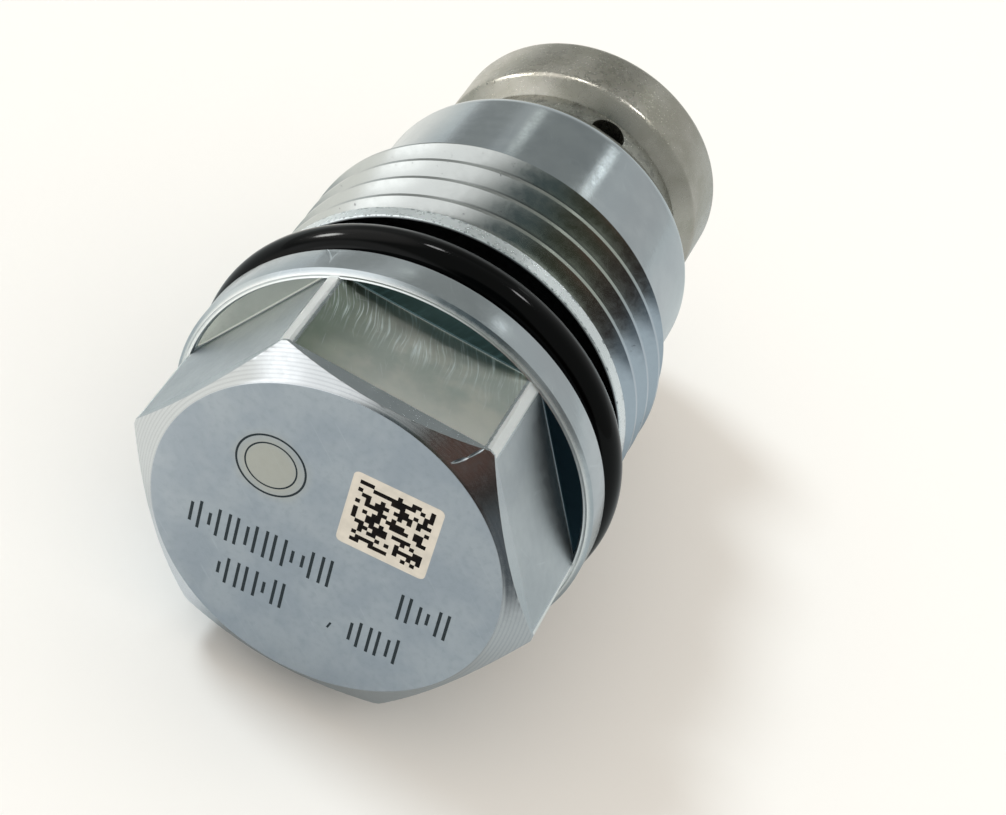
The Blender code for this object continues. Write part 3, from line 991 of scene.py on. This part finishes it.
def zinc_material():
    """Plated steel whose finish changes from the satin end face to the turned shank, with painted
    light and painted shade in several zones.
    """
    material, tree, shader = material_of("zinc_plated_steel", 1.0)
    vector, x, along, z, radius = places(tree)
    clouds = use_group(tree, GROUPS["mottle"], Broad=0.28, Fine=2.2)
    rings = use_group(tree, GROUPS["lathe"], Lines=9.0, Waver=0.06).outputs["Rings"]
    marks = use_group(tree, GROUPS["scratch"], Density=0.6, Length=0.4).outputs["Marks"]
    broad, grain = clouds.outputs["Clouds"], clouds.outputs["Grain"]
    zones = body_zones(tree, along, z, radius)
    streaks = times(tree, fan_streaks(tree, vector, x, along, broad), zones["top"])
    torn = torn_edges(tree, vector, along, zones["land"])

    colour = mix(tree, ramp(tree, broad, 0.35, 0.65), PLATE_LIGHT, PLATE_DARK)
    colour = mix(tree, zones["face"], colour, end_face_colour(tree, vector, broad, grain))
    colour = mix(tree, zones["top"], colour, top_flat_colour(tree, vector, x, along, broad))
    # Painted highlight: the turned hexagon corners are painted near-white.
    colour = mix(tree, zones["corner"], colour, CORNER_HIGHLIGHT)
    colour = mix(tree, times(tree, streaks, 0.60), colour, TOP_STREAK)
    colour = mix(tree, times(tree, marks, 0.30), colour, PLATE_SCRATCH)
    colour = chamfer_and_crescent(tree, colour, zones, x, radius)
    colour = thread_and_land(tree, colour, zones, torn, vector, x, radius)

    rough = ramp(tree, grain, 0.3, 0.7, 0.15, 0.23)
    for zone, share in (("face", 0.22), ("flats", 0.16), ("shank", -0.05), ("land", 0.10),
                        ("corner", 0.20)):
        rough = plus(tree, rough, times(tree, zones[zone], share))
    rough = plus(tree, rough, times(tree, streaks, 0.16))

    smooth = most(tree, *(zones[zone] for zone in ("face", "wall", "flats", "crescent")),
                  times(tree, zones["thread"], 0.85), zones["chamfer"])
    height = times(tree, minus(tree, 1.0, smooth), 0.5, rings)
    grain_share = ramp(tree, zones["thread"], 0.0, 1.0, 0.22, 0.06)
    height = plus(tree, height, times(tree, grain, grain_share))
    height = plus(tree, height, times(tree, streaks, 0.7))
    connect(tree, shader, colour, rough, minus(tree, height, torn), 0.28, 0.00002)
    return material


def bare_material(name, light, dark, low, high, lines):
    """Turned, unplated steel with light clouding."""
    material, tree, shader = material_of(name, 1.0)
    clouds = use_group(tree, GROUPS["mottle"], Broad=0.5, Fine=3.0)
    rings = use_group(tree, GROUPS["lathe"], Lines=lines, Waver=0.08).outputs["Rings"]
    colour = mix(tree, ramp(tree, clouds.outputs["Clouds"], 0.35, 0.65), light, dark)
    rough = ramp(tree, clouds.outputs["Grain"], 0.3, 0.7, low, high)
    connect(tree, shader, colour, rough, rings, 0.25, 0.00001)
    return material


def nose_material():
    """Warm turned steel, stained round the drain holes, and darker and greener over the whole
    neck.
    """
    material, tree, shader = material_of("bare_steel", 1.0)
    vector, _, along, _, _ = places(tree)
    clouds = use_group(tree, GROUPS["mottle"], Broad=0.45, Fine=2.6)
    rings = use_group(tree, GROUPS["lathe"], Lines=6.0, Waver=0.05).outputs["Rings"]
    colour = mix(tree, ramp(tree, clouds.outputs["Clouds"], 0.35, 0.65),
                 (0.46, 0.435, 0.385), (0.39, 0.37, 0.315))
    neck = band(tree, along, 32.0, 36.2, 0.1)
    ragged = noise(tree, vector, 1.6, 4.0, 0.7)
    stain = times(tree, ramp(tree, ragged, 0.50, 0.62), neck)
    colour = mix(tree, times(tree, stain, 0.75), colour, (0.17, 0.15, 0.13))
    # The whole neck is darker and greener.
    colour = mix(tree, times(tree, neck, 0.45), colour, (0.30, 0.32, 0.30))
    rough = ramp(tree, clouds.outputs["Grain"], 0.3, 0.7, 0.24, 0.34)
    connect(tree, shader, colour, rough, rings, 0.25, 0.00001)
    return material


def rubber_material():
    """Smooth black rubber with a little dust and a faint moulding grain."""
    material, tree, shader = material_of("black_rubber", 0.0)
    vector = places(tree)[0]
    clouds = use_group(tree, GROUPS["mottle"], Broad=0.5, Fine=6.0)
    dust = ramp(tree, noise(tree, vector, 5.0, 5.0, 0.75), 0.62, 0.78)
    colour = mix(tree, times(tree, dust, 0.04), (0.0003, 0.0003, 0.0003), (0.08, 0.075, 0.07))
    shader.inputs["Specular IOR Level"].default_value = 0.12
    rough = ramp(tree, clouds.outputs["Clouds"], 0.3, 0.7, 0.07, 0.11)
    rough = plus(tree, rough, times(tree, dust, 0.25))
    connect(tree, shader, colour, rough, clouds.outputs["Grain"], 0.12, 0.00001)
    return material


def marking_material(name, broad, fine, pattern, spread, tints, gloss, matt):
    """Dull laser marking: two tints by the clouds or the grain, and a roughness range."""
    material, tree, shader = material_of(name, 0.0)
    clouds = use_group(tree, GROUPS["mottle"], Broad=broad, Fine=fine)
    colour = mix(tree, ramp(tree, clouds.outputs[pattern], *spread), *tints)
    shader.inputs["Specular IOR Level"].default_value = gloss
    rough = ramp(tree, clouds.outputs["Grain"], 0.3, 0.7, *matt)
    connect(tree, shader, colour, rough, clouds.outputs["Grain"], 0.2, 0.00001)
    return material


# ---------------------------------------------------------------- camera and light

CAMERA_PLACE = Vector((16.334, -109.144, 114.818)) * MM
CAMERA_AZIMUTH = math.radians(5.468)
CAMERA_ELEVATION = math.radians(42.247)
CAMERA_ROLL = math.radians(24.84)
CAMERA_LENS = 103.109
SENSOR_WIDTH = 36.0

# Light: a broad cool sun, and the plain colours of the floor and the sky.
SUN_DIRECTION = (-0.6, 0.1, 0.75)
SUN_STRENGTH = 1.2
SUN_SPREAD = math.radians(14)
SUN_COLOUR = (0.86, 0.96, 1.0)
FLOOR_COLOUR = (0.90, 0.90, 0.90)
SKY_COLOUR = (0.92, 0.86, 0.775)
SKY_IN_METAL = (0.46, 0.49, 0.48)

# Studio surroundings seen in the metal: (azimuth, elevation, inner, outer, colour).
# Azimuth 0 is in front of the hexagon (-Y), 90 at +X; angles in degrees.
STUDIO = (
    (180, 8, 25, 80, (0.62, 0.65, 0.64)),
    (-172, 36, 10, 26, (0.32, 0.34, 0.33)),
    (-146, 12, 4, 14, (0.36, 0.38, 0.37)),
    (153, 12, 5, 14, (0.60, 0.62, 0.61)),
    (-100, 34, 14, 32, (1.50, 1.50, 1.46)),
    (-42, 1, 27, 40, (1.38, 1.42, 1.42)),
    (-41, 1, 7, 15, (2.15, 2.2, 2.2)),
    (6, 34, 12, 20, (0.08, 0.11, 0.12)),
    (28, 1, 19, 28, (0.038, 0.031, 0.029)),
    (20, 22, 8, 15, (0.05, 0.055, 0.04)),
    (19, 9, 5, 12, (0.13, 0.08, 0.065)),
    (-156, 26, 1.0, 3.4, (0.95, 1.0, 0.95)),
    (166, 32, 1.0, 3.4, (1.9, 2.0, 1.95)),
)
# Small lamps, left out once the light has met a second surface.
SPOTS = (
    (-98, 20, 3.0, 7, (34.0, 34.0, 33.0)),
    (-132, 59, 2.5, 5, (24.0, 24.0, 24.0)),
    (139, 64, 2.5, 5, (24.0, 24.0, 24.0)),
)
# What the metal sees on the floor, by the direction to it from a point on the valve's axis: a
# darker floor with patches of painted light and painted shade.
FLOOR_SEEN_FROM = 8 * MM
FLOOR_IN_METAL = (0.60, 0.66, 0.70)
FLOOR_PATCHES = (
    (-56, -16, 16, 30, (1.05, 1.09, 1.10)),
    (-59, -50, 7, 15, (0.95, 1.0, 1.05)),
    (-154, -20, 8, 22, (0.86, 0.88, 0.88)),
    (140, -14, 6, 16, (0.64, 0.68, 0.72)),
    (33, -2, 14, 21, (0.030, 0.04, 0.04)),
    (42, -11, 8, 16, (0.10, 0.12, 0.14)),
)


def heading(azimuth, elevation):
    a, e = math.radians(azimuth), math.radians(elevation)
    return (math.sin(a) * math.cos(e), -math.cos(a) * math.cos(e), math.sin(e))


def add_camera():
    data = bpy.data.cameras.new("camera")
    data.lens = CAMERA_LENS
    data.sensor_width = SENSOR_WIDTH
    data.clip_start = 0.005
    camera = bpy.data.objects.new("camera", data)
    bpy.context.scene.collection.objects.link(camera)
    turned = (Matrix.Rotation(CAMERA_AZIMUTH, 4, "Z")
              @ Matrix.Rotation(math.pi / 2 - CAMERA_ELEVATION, 4, "X")
              @ Matrix.Rotation(CAMERA_ROLL, 4, "Z"))
    camera.matrix_world = Matrix.Translation(CAMERA_PLACE) @ turned
    bpy.context.scene.camera = camera


def patches(tree, direction, colour, table):
    """Lays soft round patches over a colour, by direction."""
    for azimuth, elevation, inner, outer, patch in table:
        closeness = put(tree, "VectorMath", {0: direction, 1: heading(azimuth, elevation)},
                        operation="DOT_PRODUCT").outputs["Value"]
        mask = ramp(tree, closeness, math.cos(math.radians(outer)), math.cos(math.radians(inner)))
        colour = mix(tree, mask, colour, patch)
    return colour


def add_floor():
    """White floor; the metal sees it a little darker than the camera does."""
    deselect()
    lowest = -(RING_INSIDE + RING_CORD)
    bpy.ops.mesh.primitive_plane_add(size=4.0, location=(0, 0, lowest))
    floor = bpy.context.object
    floor.name = "floor"
    material, tree, shader = material_of("pale_floor", 0.0)
    shader.inputs["Roughness"].default_value = 0.9
    shader.inputs["Specular IOR Level"].default_value = 0.0
    place = put(tree, "TexCoord").outputs["Object"]
    place = put(tree, "VectorMath", {0: place, 1: (0.0, -FLOOR_SEEN_FROM, lowest)},
                operation="ADD").outputs[0]
    direction = put(tree, "VectorMath", {0: place}, operation="NORMALIZE").outputs[0]
    reflected = patches(tree, direction, FLOOR_IN_METAL, FLOOR_PATCHES)
    glossy = put(tree, "LightPath").outputs["Is Glossy Ray"]
    colour = mix(tree, glossy, FLOOR_COLOUR, reflected)
    tree.links.new(colour, shader.inputs["Base Color"])
    floor.data.materials.append(material)


def add_surroundings():
    world = bpy.data.worlds.new("studio")
    bpy.context.scene.world = world
    world.use_nodes = True
    tree = world.node_tree
    direction = put(tree, "TexCoord").outputs["Generated"]
    colour = patches(tree, direction, SKY_IN_METAL, STUDIO)
    path = put(tree, "LightPath")
    first = calc(tree, "LESS_THAN", path.outputs["Glossy Depth"], 1.5)
    colour = mix(tree, first, colour, patches(tree, direction, colour, SPOTS))
    shown = mix(tree, path.outputs["Is Glossy Ray"], SKY_COLOUR, colour)
    background = tree.nodes["Background"]
    tree.links.new(shown, background.inputs["Color"])
    background.inputs["Strength"].default_value = 1.0


def add_sun():
    data = bpy.data.lights.new("key", "SUN")
    data.energy = SUN_STRENGTH
    data.angle = SUN_SPREAD
    data.color = SUN_COLOUR
    lamp = bpy.data.objects.new("key", data)
    bpy.context.scene.collection.objects.link(lamp)
    lamp.rotation_euler = Vector(SUN_DIRECTION).to_track_quat("Z", "Y").to_euler()
    lamp.visible_glossy = False


# ---------------------------------------------------------------- assembly

add_camera()
add_floor()
add_surroundings()
add_sun()
bpy.context.scene.view_settings.view_transform = "Standard"

GROUPS["lathe"] = lathe_group()
GROUPS["mottle"] = mottle_group()
GROUPS["scratch"] = scratch_group()

zinc = zinc_material()
bare = nose_material()
rubber = rubber_material()
ground = bare_material("ground_steel", (0.66, 0.66, 0.65), (0.60, 0.60, 0.59), 0.14, 0.22, 12.0)
wire = bare_material("spring_steel", (0.32, 0.31, 0.30), (0.26, 0.25, 0.24), 0.30, 0.40, 3.0)
shim = bare_material("shim_steel", (0.60, 0.59, 0.57), (0.54, 0.53, 0.51), 0.24, 0.32, 8.0)
plates = bare_material("plate_steel", (0.50, 0.48, 0.44), (0.44, 0.42, 0.38), 0.32, 0.42, 7.0)
etched = marking_material("etched_dark", 1.0, 6.0, "Grain", (0.35, 0.7),
                          ((0.012, 0.020, 0.026), (0.022, 0.034, 0.042)), 0.25, (0.45, 0.6))
frosted = marking_material("frosted_light", 1.2, 5.0, "Clouds", (0.3, 0.7),
                           ((0.74, 0.70, 0.63), (0.64, 0.61, 0.55)), 0.5, (0.55, 0.7))
burnt = marking_material("burnt_dark", 1.4, 8.0, "Clouds", (0.35, 0.7),
                         ((0.002, 0.001, 0.001), (0.009, 0.005, 0.004)), 0.1, (0.5, 0.7))

finish_piece(valve_body(), zinc, "housing", ["valve_body"])
finish_piece(sealing_ring(), rubber, "housing", ["o_ring"])
finish_piece(nose(), bare, "housing", ["seat_nose"])

finish_piece(etched_marks(), etched, "housing", [])
finish_piece(label_ground(), frosted, "housing", [])
finish_piece(label_modules(), burnt, "housing", [])

finish_piece(closing_cone(), ground, "closing_cone", ["valve_cone"])
stem_hole = STEM_RADIUS + GAP
finish_piece(washer("piston_shell", PISTON_FRONT, PISTON_END, stem_hole, INLET_RADIUS - GAP),
             ground, "closing_cone", ["damping_piston"])
finish_piece(washer("clip_shell", CLIP_PLACE, CLIP_END, stem_hole, stem_hole + CLIP_WIDTH),
             wire, "closing_cone", ["piston_clip"])
finish_piece(washer("plate_shell", PLATE_FRONT, PLATE_BACK, PILOT_RADIUS + GAP, PLATE_RADIUS),
             plates, "closing_cone", ["spring_plate"])
finish_piece(spring_stop(), plates, "housing", ["spring_stop"])
finish_piece(stop_rod(), ground, "housing", ["stop_rod"])
for number, (place, thickness) in enumerate(zip(SHIM_PLACES, SHIM_THICKNESSES), start=1):
    finish_piece(washer(f"shim_shell_{number}", place, place + thickness, SHIM_HOLE, PLATE_RADIUS),
                 shim, "housing", [f"setting_shim_{number}"])

spring = pressure_spring()
finish_piece(spring, wire, "housing", ["main_spring"])
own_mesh(spring)
